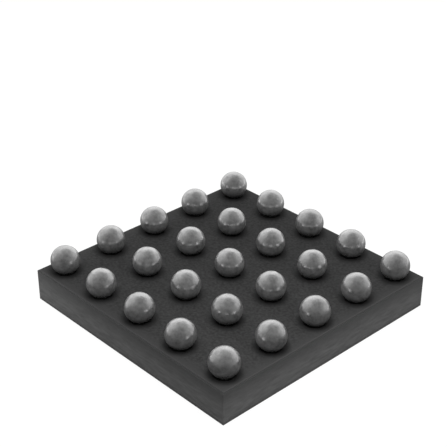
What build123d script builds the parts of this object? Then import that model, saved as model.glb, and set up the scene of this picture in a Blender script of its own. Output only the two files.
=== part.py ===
from build123d import *
import math
import os

# Wafer-level chip-size package: a bare silicon die that carries its own grid of solder balls.
# It is drawn with the balls up. The origin is the middle of the back face, which the chip rests on,
# +Z points at the balls, and every length is in millimetres.

# Driving dimensions of the ball grid. Rows are lettered along Y and columns are numbered along X.
row_letters = "abcde"
column_count = 5
ball_pitch = 0.500
ball_diameter = 0.257
ball_height = 0.230  # from the face of the polymer to the top of the ball
edge_margin = 0.1775  # from the outer ball centres to the sawn edge

# Driving dimensions of the body, from the back face up.
back_film_thickness = 0.025
die_thickness = 0.267
polymer_thickness = 0.010
saw_street = 0.010  # bare silicon left between the polymer and the sawn edge

# Driving dimensions of the metal under each ball.
ball_overhang = 0.0335  # how far the ball bulges past the pad that it is soldered to
bump_pad_thickness = 0.004  # the part of the pad that stands on the polymer
bump_pad_overlap = 0.024  # how far the pad laps over the polymer around its opening
die_pad_thickness = 0.002
die_pad_overlap = 0.010  # how far the polymer laps over the rim of the die's own pad

# Driving dimensions of the metal ring that seals the circuit against moisture from the sawn edge.
seal_ring_width = 0.008
seal_ring_inset = 0.025  # from the edge of the polymer
seal_ring_thickness = 0.002

# The grid sets the size of the body.
row_count = len(row_letters)
body_length = (column_count - 1) * ball_pitch + 2 * edge_margin
body_width = (row_count - 1) * ball_pitch + 2 * edge_margin

# The ball sets its pad, the pad sets the opening in the polymer, and the opening sets the die's pad.
bump_pad_size = ball_diameter - 2 * ball_overhang
opening_size = bump_pad_size - 2 * bump_pad_overlap
die_pad_size = opening_size + 2 * die_pad_overlap

# Heights of the faces where one layer meets the next.
die_back_z = back_film_thickness
die_front_z = die_back_z + die_thickness
die_pad_top_z = die_front_z + die_pad_thickness
polymer_face_z = die_front_z + polymer_thickness
bump_pad_top_z = polymer_face_z + bump_pad_thickness
ball_top_z = polymer_face_z + ball_height


def ball_places():
    """Name and centre of each ball.

    Row a and column 1 meet at the +X +Y corner, so the letters and numbers read the usual way
    round when the chip is turned over and looked at through its back.
    """
    places = {}
    for row, letter in enumerate(row_letters):
        for column in range(column_count):
            x = ((column_count - 1) / 2 - column) * ball_pitch
            y = ((row_count - 1) / 2 - row) * ball_pitch
            places[f"{letter}{column + 1}"] = (x, y)
    return places


def octagon(across_flats, mode=Mode.ADD):
    """Eight-sided outline with flats along X and Y, as chip metal drawn on a 45 degree grid has."""
    return RegularPolygon(across_flats / 2, 8, major_radius=False, rotation=22.5, mode=mode)


def make_back_side_film():
    """Black protective film that is laminated to the back of the wafer and sawn with it."""
    return Pos(0, 0, back_film_thickness / 2) * Box(body_length, body_width, back_film_thickness)


def make_silicon_die():
    """The die itself, sawn square through its full thickness."""
    middle_z = (die_back_z + die_front_z) / 2
    return Pos(0, 0, middle_z) * Box(body_length, body_width, die_thickness)


def make_seal_ring():
    """Unbroken metal frame on the front of the die, just inside the edge of the polymer."""
    outer_length = body_length - 2 * (saw_street + seal_ring_inset)
    outer_width = body_width - 2 * (saw_street + seal_ring_inset)
    with BuildPart() as ring:
        with BuildSketch(Plane.XY.offset(die_front_z)):
            Rectangle(outer_length, outer_width)
            Rectangle(
                outer_length - 2 * seal_ring_width,
                outer_width - 2 * seal_ring_width,
                mode=Mode.SUBTRACT,
            )
        extrude(amount=seal_ring_thickness)
    return ring.part


def make_die_pads(places):
    """Square aluminium pads of the circuit, one under each ball."""
    with BuildPart() as pads:
        with BuildSketch(Plane.XY.offset(die_front_z)):
            with Locations(*places.values()):
                Rectangle(die_pad_size, die_pad_size)
        extrude(amount=die_pad_thickness)
    return pads.part


def make_polymer_coat(places, seal_ring, die_pads):
    """Insulating coat over the circuit, open above the middle of each die pad."""
    with BuildPart() as coat:
        with BuildSketch(Plane.XY.offset(die_front_z)):
            Rectangle(body_length - 2 * saw_street, body_width - 2 * saw_street)
            with Locations(*places.values()):
                octagon(opening_size, mode=Mode.SUBTRACT)
        extrude(amount=polymer_thickness)
        add(seal_ring, mode=Mode.SUBTRACT)
        add(die_pads, mode=Mode.SUBTRACT)
    return coat.part


def make_bump_pad():
    """Plated pad that fills one opening, laps over the polymer and takes the solder."""
    with BuildPart() as pad:
        with BuildSketch(Plane.XY.offset(die_pad_top_z)):
            octagon(opening_size)
        extrude(amount=polymer_face_z - die_pad_top_z)
        with BuildSketch(Plane.XY.offset(polymer_face_z)):
            octagon(bump_pad_size)
        extrude(amount=bump_pad_thickness)
    return pad.part


def make_solder_ball():
    """One ball as it sets after reflow: a round drop cut off flat where it wets its pad.

    The drop is turned from an arc of an ellipse. It is as wide as the ball diameter, its foot is
    as wide as the pad, and its top comes to the ball height, which together fix its half height.
    """
    half_width = ball_diameter / 2
    foot_radius = bump_pad_size / 2
    foot_depth_ratio = math.sqrt(1 - (foot_radius / half_width) ** 2)
    half_height = (ball_top_z - bump_pad_top_z) / (1 + foot_depth_ratio)
    middle = (0, ball_top_z - half_height)
    foot_angle = math.degrees(math.asin(foot_depth_ratio))

    with BuildPart() as ball:
        with BuildSketch(Plane.XZ):
            with BuildLine():
                outline = EllipticalCenterArc(
                    middle, half_width, half_height, -foot_angle, arc_size=foot_angle + 90
                )
                Polyline(outline @ 1, (0, bump_pad_top_z), outline @ 0)
            make_face()
        revolve(axis=Axis.Z)
    return ball.part


def make_chip():
    """Every piece of the chip by name, each where it lies."""
    places = ball_places()
    seal_ring = make_seal_ring()
    die_pads = make_die_pads(places)
    bump_pad = make_bump_pad()
    solder_ball = make_solder_ball()
    pieces = {
        "back_side_film": make_back_side_film(),
        "silicon_die": make_silicon_die(),
        "seal_ring": seal_ring,
        "die_pads": die_pads,
        "polymer_coat": make_polymer_coat(places, seal_ring, die_pads),
    }
    for name, (x, y) in places.items():
        pieces[f"bump_pad_{name}"] = Pos(x, y) * bump_pad
        pieces[f"solder_ball_{name}"] = Pos(x, y) * solder_ball
    return pieces


os.makedirs("parts", exist_ok=True)
for node, piece in make_chip().items():
    export_step(piece, f"parts/{node}.step")
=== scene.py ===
# A wafer-level chip that lies on its back with its solder balls up, in a plain white studio.
import math

import bmesh
import bpy
from mathutils import Matrix, Vector


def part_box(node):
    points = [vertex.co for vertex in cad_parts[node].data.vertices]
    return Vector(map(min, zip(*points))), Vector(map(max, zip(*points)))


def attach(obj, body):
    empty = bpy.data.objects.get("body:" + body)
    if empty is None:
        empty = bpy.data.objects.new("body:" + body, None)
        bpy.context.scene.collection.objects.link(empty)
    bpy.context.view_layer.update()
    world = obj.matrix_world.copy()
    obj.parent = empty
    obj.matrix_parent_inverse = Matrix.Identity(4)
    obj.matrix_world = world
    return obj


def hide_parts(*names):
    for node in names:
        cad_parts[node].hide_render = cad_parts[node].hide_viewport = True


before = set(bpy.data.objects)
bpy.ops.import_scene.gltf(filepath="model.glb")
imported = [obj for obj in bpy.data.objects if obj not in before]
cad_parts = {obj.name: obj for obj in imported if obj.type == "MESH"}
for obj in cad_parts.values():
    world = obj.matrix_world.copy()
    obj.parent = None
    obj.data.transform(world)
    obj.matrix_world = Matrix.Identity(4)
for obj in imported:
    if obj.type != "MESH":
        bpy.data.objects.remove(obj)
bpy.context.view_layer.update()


# Silicon die. The body of the chip is a slab of silicon, sawn out of its wafer with a diamond
# blade. The blade leaves square corners with a hair of wear along them, and fine level scratches
# on the four sides.
MM = 0.001
DIE_EDGE_WEAR = 0.0015 * MM
WEAR_SEGMENTS = 2
SAW_LINE_SPACING = 0.022 * MM  # the real lines are about 3 microns apart, too fine to show
SAW_LINE_LENGTH = 0.12 * MM
SAW_LINE_DEPTH = 0.0006 * MM
SILICON_DARK = "#2e2e2e"
SILICON_LIGHT = "#585858"
# The first, finer cut through the circuit layers leaves only a thin darker band; the wide
# darkening towards the top is painted shade.
SILICON_TOP_SHADE = "#353535"  # painted shade, darker towards the top of the sides
TOP_SHADE_LOW = 0.13 * MM  # the painted shade fades in between these two heights above the back of the chip
TOP_SHADE_HIGH = 0.30 * MM


def linear(hex_colour):
    """Linear RGBA of an sRGB colour that is written as a hex value."""
    channels = [int(hex_colour[start:start + 2], 16) / 255 for start in (1, 3, 5)]
    curved = [c / 12.92 if c <= 0.04045 else ((c + 0.055) / 1.055) ** 2.4 for c in channels]
    return (*curved, 1.0)


def add_node(tree, kind, settings=None, links=None):
    """Adds a node. Settings name its inputs or its own properties, and links feed its inputs."""
    node = tree.nodes.new(kind)
    for name, value in (settings or {}).items():
        if isinstance(name, int) or name in node.inputs:
            node.inputs[name].default_value = value
        else:
            setattr(node, name, value)
    for name, output in (links or {}).items():
        tree.links.new(output, node.inputs[name])
    return node


def new_material(name):
    """An empty node material, its tree, and the object coordinates that its patterns read."""
    material = bpy.data.materials.new(name)
    material.use_nodes = True
    tree = material.node_tree
    tree.nodes.clear()
    place = add_node(tree, "ShaderNodeTexCoord").outputs["Object"]
    return material, tree, place


def show(mesh_maker, name, material, slot, *nodes):
    """Makes a mesh object from a bmesh and lets it stand for the given nodes of the frame."""
    mesh = bpy.data.meshes.new(name)
    mesh_maker.to_mesh(mesh)
    mesh_maker.free()
    piece = bpy.data.objects.new(name, mesh)
    bpy.context.scene.collection.objects.link(piece)
    mesh.materials.append(material)
    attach(piece, "root")
    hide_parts(*nodes)


def worn_slab(node):
    """A slab that fills a node's box, with its edges rounded by a little wear."""
    low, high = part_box(node)
    slab = bmesh.new()
    bmesh.ops.create_cube(slab, size=1.0)
    bmesh.ops.scale(slab, vec=high - low, verts=slab.verts)
    bmesh.ops.translate(slab, vec=(low + high) / 2, verts=slab.verts)
    bmesh.ops.bevel(
        slab, geom=slab.edges[:], offset=DIE_EDGE_WEAR, segments=WEAR_SEGMENTS, affect="EDGES",
        profile=0.5, material=-1,
    )
    return slab


sawn_silicon, tree, place = new_material("sawn silicon")
along_cut = add_node(
    tree, "ShaderNodeMapping",
    {"Scale": (1 / SAW_LINE_LENGTH, 1 / SAW_LINE_LENGTH, 1 / SAW_LINE_SPACING)},
    {"Vector": place},
)
saw_lines = add_node(
    tree, "ShaderNodeTexNoise", {"Scale": 1.0, "Detail": 3.0, "Roughness": 0.6},
    {"Vector": along_cut.outputs[0]},
)
silicon_colour = add_node(
    tree, "ShaderNodeMix",
    {"data_type": "RGBA", 6: linear(SILICON_DARK), 7: linear(SILICON_LIGHT)},
    {0: saw_lines.outputs["Fac"]},
)
# Painted shade: the sides are coloured darker towards their top.
height = add_node(tree, "ShaderNodeSeparateXYZ", links={"Vector": place})
top_shade = add_node(
    tree, "ShaderNodeMapRange", {"From Min": TOP_SHADE_LOW, "From Max": TOP_SHADE_HIGH},
    {"Value": height.outputs["Z"]},
)
shaded_silicon_colour = add_node(
    tree, "ShaderNodeMix", {"data_type": "RGBA", 7: linear(SILICON_TOP_SHADE)},
    {0: top_shade.outputs[0], 6: silicon_colour.outputs[2]},
)
saw_relief = add_node(
    tree, "ShaderNodeBump", {"Strength": 0.25, "Distance": SAW_LINE_DEPTH},
    {"Height": saw_lines.outputs["Fac"]},
)
silicon_shader = add_node(
    tree, "ShaderNodeBsdfPrincipled", {"Roughness": 0.62, "IOR": 1.50},
    {"Base Color": shaded_silicon_colour.outputs[2], "Normal": saw_relief.outputs[0]},
)
add_node(tree, "ShaderNodeOutputMaterial", links={"Surface": silicon_shader.outputs[0]})

show(worn_slab("silicon_die"), "die_body", sawn_silicon, "silicon", "silicon_die")


# Back side film. A black, filled epoxy film is laminated to the ground back of the wafer and
# sawn with it, so it ends flush with the die. The fillers give it a fine matte grain.
FILM_GRAIN = 0.020 * MM  # the real fillers are a few microns across, too fine to show
FILM_GRAIN_DEPTH = 0.0008 * MM
FILM_DARK = "#3a3a3a"
FILM_LIGHT = "#454545"

epoxy_film, tree, place = new_material("laminated epoxy film")
film_grain = add_node(
    tree, "ShaderNodeTexNoise", {"Scale": 1 / FILM_GRAIN, "Detail": 2.0}, {"Vector": place}
)
film_colour = add_node(
    tree, "ShaderNodeMix",
    {"data_type": "RGBA", 6: linear(FILM_DARK), 7: linear(FILM_LIGHT)},
    {0: film_grain.outputs["Fac"]},
)
film_relief = add_node(
    tree, "ShaderNodeBump", {"Strength": 0.3, "Distance": FILM_GRAIN_DEPTH},
    {"Height": film_grain.outputs["Fac"]},
)
film_shader = add_node(
    tree, "ShaderNodeBsdfPrincipled", {"Roughness": 0.70, "IOR": 1.52},
    {"Base Color": film_colour.outputs[2], "Normal": film_relief.outputs[0]},
)
add_node(tree, "ShaderNodeOutputMaterial", links={"Surface": film_shader.outputs[0]})

show(worn_slab("back_side_film"), "back_film", epoxy_film, "back_film", "back_side_film")


# Circuit metal. The square pads and the seal ring are sputtered aluminium on the front of the
# die, bright and finely grained. They lie sealed under the polymer, and keep the shapes of the
# frame.
ALUMINIUM_GRAIN = 0.004 * MM
ALUMINIUM_COLOUR = "#e3e4e5"

sputtered_aluminium, tree, place = new_material("sputtered aluminium")
aluminium_grain = add_node(
    tree, "ShaderNodeTexNoise", {"Scale": 1 / ALUMINIUM_GRAIN, "Detail": 2.0}, {"Vector": place}
)
aluminium_polish = add_node(
    tree, "ShaderNodeMapRange", {"To Min": 0.25, "To Max": 0.40},
    {"Value": aluminium_grain.outputs["Fac"]},
)
aluminium_shader = add_node(
    tree, "ShaderNodeBsdfPrincipled", {"Base Color": linear(ALUMINIUM_COLOUR), "Metallic": 1.0},
    {"Roughness": aluminium_polish.outputs[0]},
)
add_node(tree, "ShaderNodeOutputMaterial", links={"Surface": aluminium_shader.outputs[0]})
for name in ("seal_ring", "die_pads"):
    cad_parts[name].data.materials.clear()
    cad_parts[name].data.materials.append(sputtered_aluminium)


# Polymer coat. A photosensitive polymer is spun over the circuit, opened above each pad and
# cured, so its face is flat and matte with a fine grain. It stops short of the sawn edge, where
# it leaves a narrow strip of bare silicon and ends in a rounded rim.
POLYMER_RIM = 0.008 * MM
POLYMER_RIM_SEGMENTS = 3
WELD = 0.0001 * MM
POLYMER_CLOUD = 0.25 * MM  # the spun coat is a little more matte in some places than in others
POLYMER_GRAIN = 0.022 * MM  # the real grain is a few microns across, too fine to show
POLYMER_GRAIN_DEPTH = 0.0004 * MM
POLYMER_DARK = "#202020"
POLYMER_LIGHT = "#464646"
POLYMER_THIN = "#3d3d3d"  # the coat thins out towards its rim, where the silicon shows through
THIN_START = 1.04 * MM  # this and the next are measured from the middle of the chip
THIN_END = 1.17 * MM
BALL_PITCH = 0.500 * MM
BALL_SHADE_COLOUR = "#202020"  # painted shade: the coat is coloured darker around each ball, in the ball's shade
BALL_SHADE_IN = 0.10 * MM
BALL_SHADE_OUT = 0.18 * MM

cured_polymer, tree, place = new_material("cured polymer coat")
polymer_cloud = add_node(
    tree, "ShaderNodeTexNoise", {"Scale": 1 / POLYMER_CLOUD, "Detail": 4.0}, {"Vector": place}
)
polymer_grain = add_node(
    tree, "ShaderNodeTexNoise", {"Scale": 1 / POLYMER_GRAIN, "Detail": 2.0}, {"Vector": place}
)
polymer_colour = add_node(
    tree, "ShaderNodeMix",
    {"data_type": "RGBA", 6: linear(POLYMER_DARK), 7: linear(POLYMER_LIGHT)},
    {0: polymer_grain.outputs["Fac"]},
)
off_centre = add_node(tree, "ShaderNodeVectorMath", {"operation": "ABSOLUTE"}, {0: place})
off_centre_parts = add_node(
    tree, "ShaderNodeSeparateXYZ", links={"Vector": off_centre.outputs["Vector"]}
)
towards_rim = add_node(
    tree, "ShaderNodeMath", {"operation": "MAXIMUM"},
    {0: off_centre_parts.outputs["X"], 1: off_centre_parts.outputs["Y"]},
)
thin_share = add_node(
    tree, "ShaderNodeMapRange", {"From Min": THIN_START, "From Max": THIN_END},
    {"Value": towards_rim.outputs[0]},
)
coat_colour = add_node(
    tree, "ShaderNodeMix", {"data_type": "RGBA", 7: linear(POLYMER_THIN)},
    {0: thin_share.outputs[0], 6: polymer_colour.outputs[2]},
)
to_ball = add_node(
    tree, "ShaderNodeVectorMath",
    {
        "operation": "WRAP",
        1: (BALL_PITCH / 2, BALL_PITCH / 2, 1.0),
        2: (-BALL_PITCH / 2, -BALL_PITCH / 2, 0.0),
    },
    {0: place},
)
flat_to_ball = add_node(
    tree, "ShaderNodeVectorMath", {"operation": "MULTIPLY", 1: (1.0, 1.0, 0.0)},
    {0: to_ball.outputs["Vector"]},
)
from_ball = add_node(
    tree, "ShaderNodeVectorMath", {"operation": "LENGTH"}, {0: flat_to_ball.outputs["Vector"]}
)
# Painted shade: the coat darkens towards each ball's foot.
ball_shade_ring = add_node(
    tree, "ShaderNodeMapRange",
    {
        "interpolation_type": "SMOOTHSTEP",
        "From Min": BALL_SHADE_IN,
        "From Max": BALL_SHADE_OUT,
        "To Min": 1.0,
        "To Max": 0.0,
    },
    {"Value": from_ball.outputs["Value"]},
)
face_colour = add_node(
    tree, "ShaderNodeMix", {"data_type": "RGBA", 7: linear(BALL_SHADE_COLOUR)},
    {0: ball_shade_ring.outputs[0], 6: coat_colour.outputs[2]},
)
polymer_relief = add_node(
    tree, "ShaderNodeBump", {"Strength": 0.2, "Distance": POLYMER_GRAIN_DEPTH},
    {"Height": polymer_grain.outputs["Fac"]},
)
polymer_polish = add_node(
    tree, "ShaderNodeMapRange", {"To Min": 0.66, "To Max": 0.76},
    {"Value": polymer_cloud.outputs["Fac"]},
)
polymer_shader = add_node(
    tree, "ShaderNodeBsdfPrincipled", {"IOR": 1.50, "Specular IOR Level": 0.10},
    {
        "Base Color": face_colour.outputs[2],
        "Roughness": polymer_polish.outputs[0],
        "Normal": polymer_relief.outputs[0],
    },
)
add_node(tree, "ShaderNodeOutputMaterial", links={"Surface": polymer_shader.outputs[0]})

coat_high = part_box("polymer_coat")[1]
coat = bmesh.new()
coat.from_mesh(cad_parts["polymer_coat"].data)
bmesh.ops.remove_doubles(coat, verts=coat.verts, dist=WELD)
bmesh.ops.dissolve_limit(coat, angle_limit=math.radians(1), verts=coat.verts, edges=coat.edges)
rim = [
    edge for edge in coat.edges
    if all(coat_high.z - v.co.z < WELD for v in edge.verts)
    and all(max(abs(v.co.x), abs(v.co.y)) > coat_high.x - WELD for v in edge.verts)
]
bmesh.ops.bevel(
    coat, geom=rim, offset=POLYMER_RIM, segments=POLYMER_RIM_SEGMENTS, affect="EDGES",
    profile=0.5, material=-1,
)
show(coat, "coat", cured_polymer, "polymer", "polymer_coat")


# Bump pads. Each is copper plated up through an opening in the polymer and capped with nickel,
# and the solder has wetted its top. Only its thin rim shows under the ball, coloured nearly black
# as painted shade, since it lies in the ball's shadow. The pads keep the shapes of the frame.
PAD_GRAIN = 0.006 * MM
# Painted shade: the rim is coloured nearly black, as the ball shades it.
PAD_SHADE_COLOUR = "#2a2a29"

shaded_nickel_plating, tree, place = new_material("shaded nickel plating")
pad_grain = add_node(
    tree, "ShaderNodeTexNoise", {"Scale": 1 / PAD_GRAIN, "Detail": 2.0}, {"Vector": place}
)
pad_polish = add_node(
    tree, "ShaderNodeMapRange", {"To Min": 0.45, "To Max": 0.60},
    {"Value": pad_grain.outputs["Fac"]},
)
pad_shader = add_node(
    tree, "ShaderNodeBsdfPrincipled", {"Base Color": linear(PAD_SHADE_COLOUR), "Metallic": 1.0},
    {"Roughness": pad_polish.outputs[0]},
)
add_node(tree, "ShaderNodeOutputMaterial", links={"Surface": pad_shader.outputs[0]})
ball_names = sorted(n.split("_")[-1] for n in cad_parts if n.startswith("solder_ball_"))
for name in ball_names:
    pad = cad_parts[f"bump_pad_{name}"]
    pad.data.materials.clear()
    pad.data.materials.append(shaded_nickel_plating)


# Solder balls. Each is a drop of tin alloy that set on its pad after reflow: a round dome that
# narrows again to its foot. Its skin is bright where the tin set smooth, over a rougher crust of
# crystals that spreads the light. Its colour is painted darker towards the foot, as painted shade
# where the ball meets the face.
FOOT_SHARE = 0.875  # of the width of the pad, because the solder draws in above the pad's rim
BALL_SEGMENTS = 72
BALL_RINGS = 48
CUT_TOLERANCE = 1e-9
SOLDER_GRAIN = 0.035 * MM  # the real crystals are a few microns across, too fine to show
SOLDER_GRAIN_DEPTH = 0.0030 * MM
SOLDER_PATCH = 0.05 * MM  # the tin sets in darker and lighter patches of crystals
SOLDER_DARK = "#b4b4b4"
SOLDER_LIGHT = "#ffffff"
# Painted shade: the solder's colour darkens towards its foot.
FOOT_SHADE_COLOUR = "#808080"
FOOT_SHADE_LOW = 0.295 * MM  # the painted shade fades out between this and the next height above the back of the chip
FOOT_SHADE_HIGH = 0.42 * MM

reflowed_solder, tree, place = new_material("reflowed solder")
solder_grain = add_node(
    tree, "ShaderNodeTexNoise", {"Scale": 1 / SOLDER_GRAIN, "Detail": 4.0, "Roughness": 0.6},
    {"Vector": place},
)
solder_patches = add_node(
    tree, "ShaderNodeTexNoise", {"Scale": 1 / SOLDER_PATCH, "Detail": 3.0}, {"Vector": place}
)
patch_contrast = add_node(
    tree, "ShaderNodeMapRange", {"From Min": 0.30, "From Max": 0.70},
    {"Value": solder_patches.outputs["Fac"]},
)
solder_colour = add_node(
    tree, "ShaderNodeMix",
    {"data_type": "RGBA", 6: linear(SOLDER_DARK), 7: linear(SOLDER_LIGHT)},
    {0: patch_contrast.outputs[0]},
)
solder_height = add_node(tree, "ShaderNodeSeparateXYZ", links={"Vector": place})
# Painted shade towards the foot of the ball.
above_foot_shade = add_node(
    tree, "ShaderNodeMapRange", {"From Min": FOOT_SHADE_LOW, "From Max": FOOT_SHADE_HIGH},
    {"Value": solder_height.outputs["Z"]},
)
skin_colour = add_node(
    tree, "ShaderNodeMix", {"data_type": "RGBA", 6: linear(FOOT_SHADE_COLOUR)},
    {0: above_foot_shade.outputs[0], 7: solder_colour.outputs[2]},
)
solder_polish = add_node(
    tree, "ShaderNodeMapRange", {"To Min": 0.46, "To Max": 0.62},
    {"Value": solder_patches.outputs["Fac"]},
)
solder_relief = add_node(
    tree, "ShaderNodeBump", {"Strength": 1.0, "Distance": SOLDER_GRAIN_DEPTH},
    {"Height": solder_grain.outputs["Fac"]},
)
solder_shader = add_node(
    tree, "ShaderNodeBsdfPrincipled",
    {"Metallic": 1.0, "Coat Weight": 1.0, "Coat IOR": 6.0, "Coat Roughness": 0.10},
    {
        "Base Color": skin_colour.outputs[2],
        "Roughness": solder_polish.outputs[0],
        "Normal": solder_relief.outputs[0],
        "Coat Normal": solder_relief.outputs[0],
    },
)
add_node(tree, "ShaderNodeOutputMaterial", links={"Surface": solder_shader.outputs[0]})

for name in ball_names:
    ball_low, ball_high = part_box(f"solder_ball_{name}")
    pad_low, pad_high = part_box(f"bump_pad_{name}")
    half_width = (ball_high.x - ball_low.x) / 2
    foot_radius = (pad_high.x - pad_low.x) / 2 * FOOT_SHARE
    foot_depth_ratio = math.sqrt(1 - (foot_radius / half_width) ** 2)
    half_height = (ball_high.z - ball_low.z) / (1 + foot_depth_ratio)
    middle = Vector((
        (ball_low.x + ball_high.x) / 2, (ball_low.y + ball_high.y) / 2, ball_high.z - half_height
    ))

    drop = bmesh.new()
    bmesh.ops.create_uvsphere(
        drop, u_segments=BALL_SEGMENTS, v_segments=BALL_RINGS, radius=half_width
    )
    bmesh.ops.scale(drop, vec=(1, 1, half_height / half_width), verts=drop.verts)
    bmesh.ops.translate(drop, vec=middle, verts=drop.verts)
    cut = bmesh.ops.bisect_plane(
        drop, geom=drop.verts[:] + drop.edges[:] + drop.faces[:], dist=CUT_TOLERANCE,
        plane_co=(0, 0, ball_low.z), plane_no=(0, 0, -1), clear_outer=True,
    )
    for face in drop.faces:
        face.smooth = True
    rim = [e for e in cut["geom_cut"] if isinstance(e, bmesh.types.BMEdge)]
    bmesh.ops.contextual_create(drop, geom=rim)
    bmesh.ops.recalc_face_normals(drop, faces=drop.faces)
    show(drop, f"ball_{name}", reflowed_solder, "solder", f"solder_ball_{name}")


# Studio floor. It is plain and white. The camera sees it nearly as bright as white paper, with a
# part of its brightness lit, so that it keeps a soft shadow of the chip. Reflections see it fade
# towards the camera, because the studio's light comes from behind the chip.
FLOOR_HALF_SIDE = 60 * MM
FLOOR_GAP = 0.0005 * MM
FLOOR_WHITE = 0.80  # what the floor throws back on the chip
FLOOR_GLOW = 0.90  # the even part of what the camera sees of the floor
FLOOR_LIT = 0.12  # the lit part, in which the chip's shadow shows
FLOOR_NEAR_SHARE = 0.20  # painted shade: reflections see the floor darker close to the chip
FLOOR_NEAR = 1.2 * MM
FLOOR_FAR = 6.0 * MM
FLOOR_FADE = 3.0 * MM  # how far in front of or behind the chip the reflected floor fades over
BRIGHT_SIDE = Vector((-0.6964, 0.6964, 0.1736))  # where the studio's light comes from
REFLECTED_LEVELS = (  # from the dim side at 0 to the bright side at 1, and the brightness there
    (0.0, 0.06), (0.1, 0.085), (0.33, 0.165), (0.42, 0.205), (0.5, 0.30), (0.62, 0.38),
    (0.75, 0.44), (0.84, 0.53), (0.92, 0.71), (1.0, 0.88),
)


def reflected_level(tree, side):
    """Brightness of the studio in reflections, for a side from -1, its dim side, to 1."""
    share = add_node(
        tree, "ShaderNodeMapRange", {"From Min": -1.0, "From Max": 1.0}, {"Value": side}
    )
    ramp = add_node(tree, "ShaderNodeValToRGB", links={"Fac": share.outputs[0]})
    steps = ramp.color_ramp.elements
    for position, level in REFLECTED_LEVELS[1:-1]:
        steps.new(position)
    for step, (position, level) in zip(steps, REFLECTED_LEVELS):
        step.color = (level, level, level, 1.0)
    return ramp.outputs["Color"]


floor_paint, tree, place = new_material("white studio floor")
rays = add_node(tree, "ShaderNodeLightPath")
straight = add_node(
    tree, "ShaderNodeMath", {"operation": "MAXIMUM"},
    {0: rays.outputs["Is Camera Ray"], 1: rays.outputs["Is Transmission Ray"]},
)
across = add_node(
    tree, "ShaderNodeVectorMath", {"operation": "DOT_PRODUCT", 1: BRIGHT_SIDE / FLOOR_FADE},
    {0: place},
)
glow_part = add_node(tree, "ShaderNodeEmission", {"Strength": FLOOR_GLOW})
lit_part = add_node(
    tree, "ShaderNodeBsdfDiffuse", {"Color": (FLOOR_LIT, FLOOR_LIT, FLOOR_LIT, 1.0)}
)
seen_floor = add_node(
    tree, "ShaderNodeAddShader", links={0: lit_part.outputs[0], 1: glow_part.outputs[0]}
)
from_chip = add_node(tree, "ShaderNodeVectorMath", {"operation": "LENGTH"}, {0: place})
painted_near_shade = add_node(
    tree, "ShaderNodeMapRange",
    {"From Min": FLOOR_NEAR, "From Max": FLOOR_FAR, "To Min": FLOOR_NEAR_SHARE},
    {"Value": from_chip.outputs["Value"]},
)
mirrored_level = add_node(
    tree, "ShaderNodeMath", {"operation": "MULTIPLY"},
    {0: reflected_level(tree, across.outputs["Value"]), 1: painted_near_shade.outputs[0]},
)
mirrored_floor = add_node(
    tree, "ShaderNodeEmission", links={"Strength": mirrored_level.outputs[0]}
)
plain_white = add_node(
    tree, "ShaderNodeBsdfDiffuse", {"Color": (FLOOR_WHITE, FLOOR_WHITE, FLOOR_WHITE, 1.0)}
)
unseen_floor = add_node(
    tree, "ShaderNodeMixShader",
    links={
        0: rays.outputs["Is Glossy Ray"], 1: plain_white.outputs[0], 2: mirrored_floor.outputs[0],
    },
)
floor_shader = add_node(
    tree, "ShaderNodeMixShader",
    links={0: straight.outputs[0], 1: unseen_floor.outputs[0], 2: seen_floor.outputs[0]},
)
add_node(tree, "ShaderNodeOutputMaterial", links={"Surface": floor_shader.outputs[0]})

floor_maker = bmesh.new()
bmesh.ops.create_grid(floor_maker, x_segments=1, y_segments=1, size=FLOOR_HALF_SIDE)
bmesh.ops.translate(floor_maker, vec=(0, 0, -FLOOR_GAP), verts=floor_maker.verts)
floor_mesh = bpy.data.meshes.new("floor")
floor_maker.to_mesh(floor_mesh)
floor_maker.free()
floor = bpy.data.objects.new("floor", floor_mesh)
bpy.context.scene.collection.objects.link(floor)
floor_mesh.materials.append(floor_paint)


# Studio light. A soft even white sky lights the chip at a level that shows a colour as it is. The
# solder reflects it bright behind the chip and dim on the camera's side. The camera itself sees
# plain white behind the floor.
SKY_LEVEL = 1.0
OVERHEAD = Vector((0.126, 0.165, 0.978))  # the solder sees a dimmer patch overhead
OVERHEAD_EDGE = 0.66
OVERHEAD_MIDDLE = 0.94
OVERHEAD_LEVEL = 0.50

world = bpy.data.worlds.new("studio sky")
bpy.context.scene.world = world
world.use_nodes = True
tree = world.node_tree
tree.nodes.clear()
direction = add_node(tree, "ShaderNodeTexCoord")
facing = add_node(
    tree, "ShaderNodeVectorMath", {"operation": "DOT_PRODUCT", 1: BRIGHT_SIDE},
    {0: direction.outputs["Generated"]},
)
overhead = add_node(
    tree, "ShaderNodeVectorMath", {"operation": "DOT_PRODUCT", 1: OVERHEAD},
    {0: direction.outputs["Generated"]},
)
overhead_gap = add_node(
    tree, "ShaderNodeMapRange",
    {
        "interpolation_type": "SMOOTHSTEP",
        "From Min": OVERHEAD_EDGE,
        "From Max": OVERHEAD_MIDDLE,
        "To Min": 1.0,
        "To Max": OVERHEAD_LEVEL,
    },
    {"Value": overhead.outputs["Value"]},
)
mirrored_sky = add_node(
    tree, "ShaderNodeMath", {"operation": "MULTIPLY"},
    {0: reflected_level(tree, facing.outputs["Value"]), 1: overhead_gap.outputs[0]},
)
rays = add_node(tree, "ShaderNodeLightPath")
sky_level = add_node(
    tree, "ShaderNodeMix", {"data_type": "FLOAT", 2: SKY_LEVEL},
    {0: rays.outputs["Is Glossy Ray"], 3: mirrored_sky.outputs[0]},
)
straight = add_node(
    tree, "ShaderNodeMath", {"operation": "MAXIMUM"},
    {0: rays.outputs["Is Camera Ray"], 1: rays.outputs["Is Transmission Ray"]},
)
seen_level = add_node(
    tree, "ShaderNodeMix", {"data_type": "FLOAT", 3: 1.0},
    {0: straight.outputs[0], 2: sky_level.outputs[0]},
)
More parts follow.
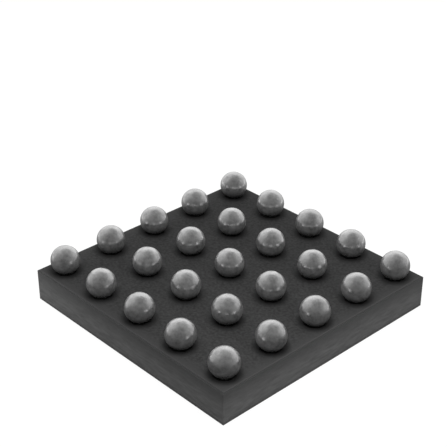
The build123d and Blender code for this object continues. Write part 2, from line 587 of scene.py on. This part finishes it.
sky = add_node(
    tree, "ShaderNodeBackground", {"Color": (1.0, 1.0, 1.0, 1.0)},
    {"Strength": seen_level.outputs[0]},
)
add_node(tree, "ShaderNodeOutputWorld", links={"Surface": sky.outputs[0]})


# Lamps. Three weak, wide lamps shade the chip. One stands off the left end of its left side and
# one off its right side, so that the front corner shows, and one hangs over that corner, from
# where the face darkens towards the back. The solder doesn't mirror them.
LAMPS = {  # where each stands, where it points and how wide it is, in millimetres, and its watts
    "left lamp": (Vector((-2.6, -2.6, 0.7)), Vector((-1.18, -1.18, 0.15)), 0.9, 4.5e-5),
    "right lamp": (Vector((5.0, 0.3, 2.0)), Vector((1.18, 0.0, 0.15)), 3.0, 9.0e-5),
    "front lamp": (Vector((0.95, -0.95, 2.9)), Vector((0.95, -0.95, 0.3)), 0.9, 2.3e-5),
}

for name, (stand, aim, width, watts) in LAMPS.items():
    lamp_data = bpy.data.lights.new(name, "AREA")
    lamp_data.shape = "SQUARE"
    lamp_data.size = width * MM
    lamp_data.energy = watts
    lamp = bpy.data.objects.new(name, lamp_data)
    turn = (aim - stand).to_track_quat("-Z", "Y").to_matrix().to_4x4()
    lamp.matrix_world = Matrix.Translation(stand * MM) @ turn
    lamp.visible_camera = False
    lamp.visible_glossy = False
    bpy.context.scene.collection.objects.link(lamp)


# Camera. It stands at the front corner of the chip and looks down on it at 30 degrees.
CAMERA_PLACE = Vector((6.149, -5.836, 5.692)) * MM
CAMERA_LOOK = Vector((-0.63159, 0.59216, -0.50044))
CAMERA_LENS = 93.8

camera_data = bpy.data.cameras.new("camera")
camera_data.lens = CAMERA_LENS
camera_data.sensor_width = 36.0
camera_data.clip_start = 0.1 * MM
camera_data.clip_end = 1.0
camera = bpy.data.objects.new("camera", camera_data)
turn = CAMERA_LOOK.to_track_quat("-Z", "Y").to_matrix().to_4x4()
camera.matrix_world = Matrix.Translation(CAMERA_PLACE) @ turn
bpy.context.scene.collection.objects.link(camera)
bpy.context.scene.camera = camera
bpy.context.scene.view_settings.view_transform = "Standard"
